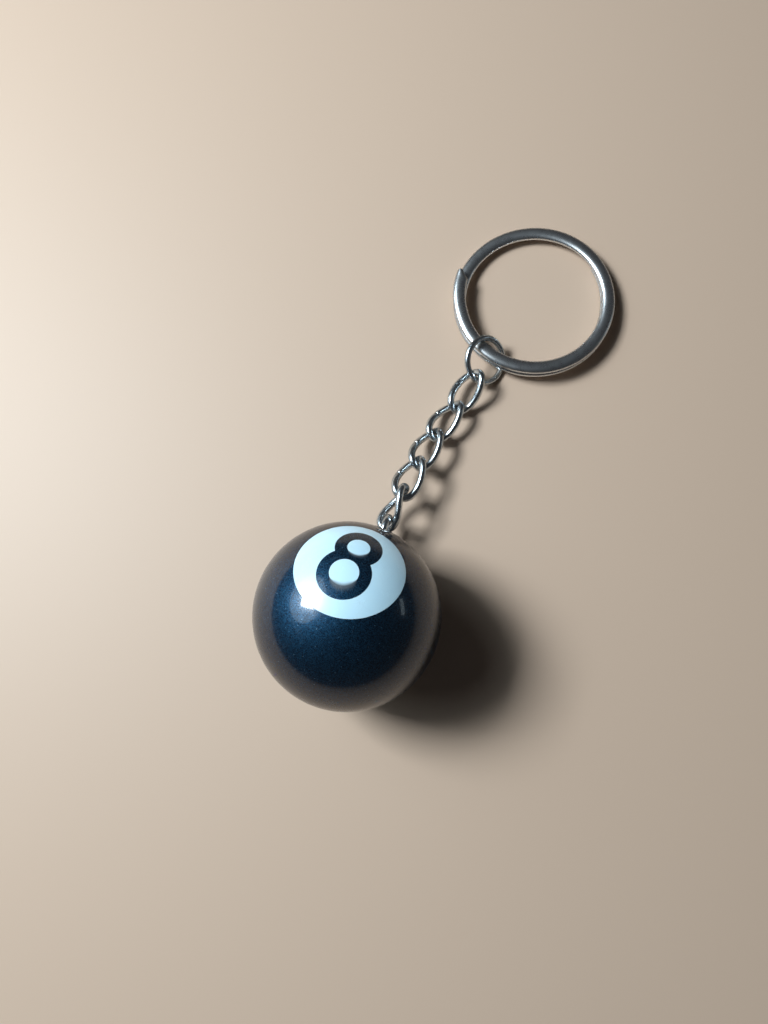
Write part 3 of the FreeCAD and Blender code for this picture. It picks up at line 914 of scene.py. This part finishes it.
def plated_wire(name, bright, dull, grain, dents, pitting, roughness, wear):
    """Nickel-plated steel wire: lines drawn along it, dents, dull spots, and painted shade in
    crevices, where it is also made rougher.
    grain is how fine the lines are, dents and pitting how deep, wear how much rougher a dull spot."""
    shader = Shader(name)
    drawn = shader.noise(1.0, 5, 0.6, shader.stretch(shader.wire, (0.5, grain, 1)))
    lumps = shader.noise(1.6, 3)
    pits = shader.remap(shader.noise(7, 3), 0.66, 0.74)
    rubbed = shader.noise(0.8, 5, 0.65)
    # Painted shade: the colour is darkened towards brown where the wire is hemmed in, in crevices and
    # where links meet; the roughness is raised there as well.
    occlusion = shader.node("ShaderNodeAmbientOcclusion", {"Distance": 0.5 * MM}, samples=6)
    crevice_shade = shader.remap(occlusion.outputs["AO"], 0.25, 0.8, 1.0, 0.0)
    metal = shader.mix(shader.remap(rubbed, 0.35, 0.7), bright, dull)
    metal = shader.mix(shader.math("MULTIPLY", pits, pitting), metal, linear(120, 112, 102))
    worn = shader.remap(rubbed, 0.3, 0.75, roughness, roughness * (1 + wear))
    dented = shader.bump(lumps, dents, 0.6)
    lined = shader.bump(drawn, 0.006, 0.4, dented)
    shader.set(
        # Painted shade in crevices: a dark brown mixed into the metal's colour.
        Base_Color=shader.mix(shader.math("MULTIPLY", crevice_shade, 0.5), metal, linear(70, 60, 54)),
        Metallic=1.0,
        Specular_Tint=linear(120, 124, 130),
        Roughness=shader.math("ADD", worn, shader.math("MULTIPLY", crevice_shade, 0.15)),
        Normal=shader.bump(pits, -0.01 * pitting, 0.3, lined),
    )
    return shader.material


def chain_plating():
    """Links, jump ring and screw eye: slightly dull, with small dents."""
    return plated_wire(
        "chain_plating",
        bright=linear(222, 230, 235),
        dull=linear(188, 196, 201),
        grain=3.5,
        dents=0.04,
        pitting=0.3,
        roughness=0.2,
        wear=0.5,
    )


def ring_plating():
    """Split ring: brighter and nearly free of dents."""
    return plated_wire(
        "ring_plating",
        bright=linear(234, 237, 239),
        dull=linear(218, 221, 223),
        grain=2.5,
        dents=0.003,
        pitting=0.05,
        roughness=0.26,
        wear=0.2,
    )


def glue():
    """Set glue: slightly cloudy amber, glossy."""
    shader = Shader("adhesive")
    cloud = shader.noise(2.5, 4)
    shader.set(
        Base_Color=shader.mix(cloud, linear(120, 108, 88), linear(168, 158, 138)),
        Roughness=shader.remap(cloud, 0.3, 0.7, 0.12, 0.3),
        Subsurface_Weight=0.3,
        Subsurface_Scale=0.3 * MM,
        Normal=shader.bump(shader.noise(5, 3), 0.02, 0.5),
    )
    return shader.material


def floor_paint():
    """Plain pale floor with a barely visible mottle."""
    shader = Shader("floor_paint")
    mottle = shader.noise(0.02, 5, 0.6)
    shader.set(
        Base_Color=shader.mix(mottle, linear(184, 160, 140), linear(194, 170, 150)),
        Roughness=shader.remap(shader.noise(0.3, 4), 0.3, 0.7, 0.5, 0.62),
        Normal=shader.bump(shader.noise(1.5, 6), 0.02, 0.3),
    )
    return shader.material


# ---------------------------------------------------------------- the object


def build_ball(plating):
    """Ball, its two number spots with their figures, the screw eye and its glue."""
    place = ball_place()
    add_piece("pool_ball", make_ball(), place, "ball", ["ball_body"], black_resin())
    slant = Matrix.Rotation(math.radians(-FIGURE_SLANT), 4, "Z")
    half_turn = Matrix.Rotation(math.pi, 4, "Y")
    white, black = white_resin(), black_figure()
    for side, facing in (("front", place @ slant), ("back", place @ half_turn @ slant)):
        spot, figure = "number_spot_" + side, "number_figure_" + side
        add_piece("spot_" + side, spot_mesh(spot), facing, "ball", [spot], white)
        add_piece("figure_" + side, figure_mesh(figure), facing, "ball", [figure], black)
    add_piece("wire_eye", make_screw_eye(), place, "ball", ["screw_eye"], plating)
    add_piece("glue_ring", make_glue(), place, "ball", ["thread_adhesive"], glue())


def build_chain(plating):
    """Five links, each a little differently uneven, and the jump ring."""
    for number in range(1, 6):
        link = f"link_{number}"
        mesh = make_link(link, unevenness=0.006 + 0.002 * (number % 3))
        add_piece("chain_" + link, mesh, link_place(link), link, [link], plating)
    place = jump_ring_place()
    add_piece("chain_jump_ring", make_jump_ring(), place, "jump_ring", ["jump_ring"],
              plating)


def build_split_ring():
    """Split ring for the keys."""
    place = split_ring_place()
    add_piece("key_split_ring", make_split_ring(), place, "split_ring", ["split_ring"],
              ring_plating())


# ---------------------------------------------------------------- floor, light and camera


def build_floor(table):
    """A wide, flat floor at the height on which the object lies."""
    shape = bmesh.new()
    bmesh.ops.create_grid(shape, x_segments=24, y_segments=24, size=FLOOR_HALF_SIDE * MM)
    mesh = finish_mesh(shape, "floor")
    mesh.materials.append(floor_paint())
    floor = bpy.data.objects.new("floor", mesh)
    floor.location.z = table
    bpy.context.scene.collection.objects.link(floor)


def add_area_light(name, aim, direction, distance, size, power, colour, shape="RECTANGLE"):
    """Area light in a direction from its aim; distance and size are in metres, power in watts."""
    data = bpy.data.lights.new(name, "AREA")
    data.shape = shape
    data.size, data.size_y = size
    data.energy = power
    data.color = colour
    light = bpy.data.objects.new(name, data)
    direction = Vector(direction).normalized()
    light.location = aim + direction * distance
    light.rotation_euler = direction.to_track_quat("Z", "Y").to_euler()
    bpy.context.scene.collection.objects.link(light)


def build_world():
    """Dim room: a little brighter near the horizon than overhead."""
    world = bpy.data.worlds.new("room")
    world.use_nodes = True
    tree = world.node_tree
    coordinates = tree.nodes.new("ShaderNodeTexCoord")
    split = tree.nodes.new("ShaderNodeSeparateXYZ")
    ramp = tree.nodes.new("ShaderNodeValToRGB")
    ramp.color_ramp.elements[0].color = HORIZON
    ramp.color_ramp.elements[1].color = OVERHEAD
    tree.links.new(coordinates.outputs["Generated"], split.inputs[0])
    tree.links.new(split.outputs["Z"], ramp.inputs["Fac"])
    tree.links.new(ramp.outputs["Color"], tree.nodes["Background"].inputs["Color"])
    tree.nodes["Background"].inputs["Strength"].default_value = ROOM_LIGHT
    bpy.context.scene.world = world


def build_camera():
    """The photograph's view: from above the chain, turned so that the chain runs up to the right."""
    data = bpy.data.cameras.new("camera")
    data.sensor_width = 36
    data.lens = CAMERA_LENS
    data.clip_start = CAMERA_NEAREST * MM
    camera = bpy.data.objects.new("camera", data)
    camera.location = Vector(CAMERA_PLACE) * MM
    camera.rotation_euler = [math.radians(angle) for angle in CAMERA_TURN]
    bpy.context.scene.collection.objects.link(camera)
    bpy.context.scene.camera = camera


def build_lights(aim):
    """A window with a soft glow round it, which makes the shadows, and a far doorway opposite."""
    add_area_light(
        "window", aim,
        direction=(-0.66, -0.13, 0.74),
        distance=0.42,
        size=(0.135, 0.12),
        power=2.6,
        colour=(0.84, 0.94, 1.0),
    )
    add_area_light(
        "sky_glow", aim,
        direction=(-0.70, -0.13, 0.70),
        distance=0.44,
        size=(0.42, 0.34),
        power=0.7,
        colour=(0.74, 0.90, 1.0),
        shape="ELLIPSE",
    )
    add_area_light(
        "doorway", aim,
        direction=(0.78, 0.56, 0.28),
        distance=0.9,
        size=(0.26, 0.08),
        power=0.08,
        colour=(0.75, 0.92, 1.0),
    )


def build_stage():
    """Everything round the object."""
    low, high = cad_box
    build_floor(low.z)
    build_world()
    build_lights((low + high) / 2)
    build_camera()
    bpy.context.scene.view_settings.view_transform = "Standard"


chain_metal = chain_plating()
build_ball(chain_metal)
build_chain(chain_metal)
build_split_ring()
build_stage()

bpy.context.view_layer.update()
